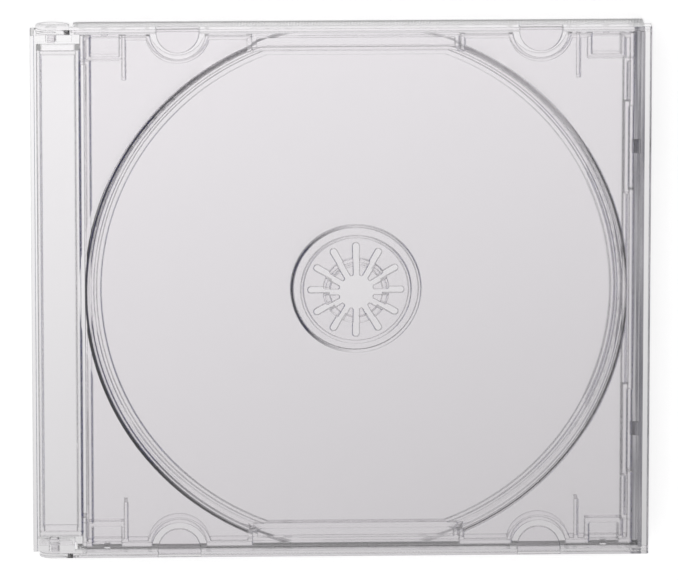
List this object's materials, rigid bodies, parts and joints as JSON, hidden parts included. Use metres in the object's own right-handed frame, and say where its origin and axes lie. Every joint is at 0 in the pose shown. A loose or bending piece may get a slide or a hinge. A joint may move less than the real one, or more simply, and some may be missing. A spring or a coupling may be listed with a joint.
{
  "type": "hinged disc case",
  "caption": "Clear flat hinged case with a snap-in tray whose hub of spring fingers holds one disc by its centre hole.",
  "frame": {"origin": "centre of the closed case's underside, lying on its back", "axes": "+X from the hinge side to the opening side, +Y to the head of the case, +Z out through the front lid"},
  "size_m": [0.142, 0.124, 0.0104],
  "materials": {
    "lid_plastic": "clear polished polystyrene",
    "tray_plastic": "clear polished polystyrene",
    "cover_plastic": "clear polished polystyrene"
  },
  "bodies": {
    "base": {"back_cover": "cover_plastic", "disc_tray": "tray_plastic"},
    "lid": {"front_lid": "lid_plastic"}
  },
  "joints": [
    {"name": "lid_hinge", "type": "hinge", "parent": "base", "child": "lid", "pos_m": [-0.0662, 0, 0.0052], "axis": [0, -1, 0], "range_deg": [0, 180]}
  ]
}
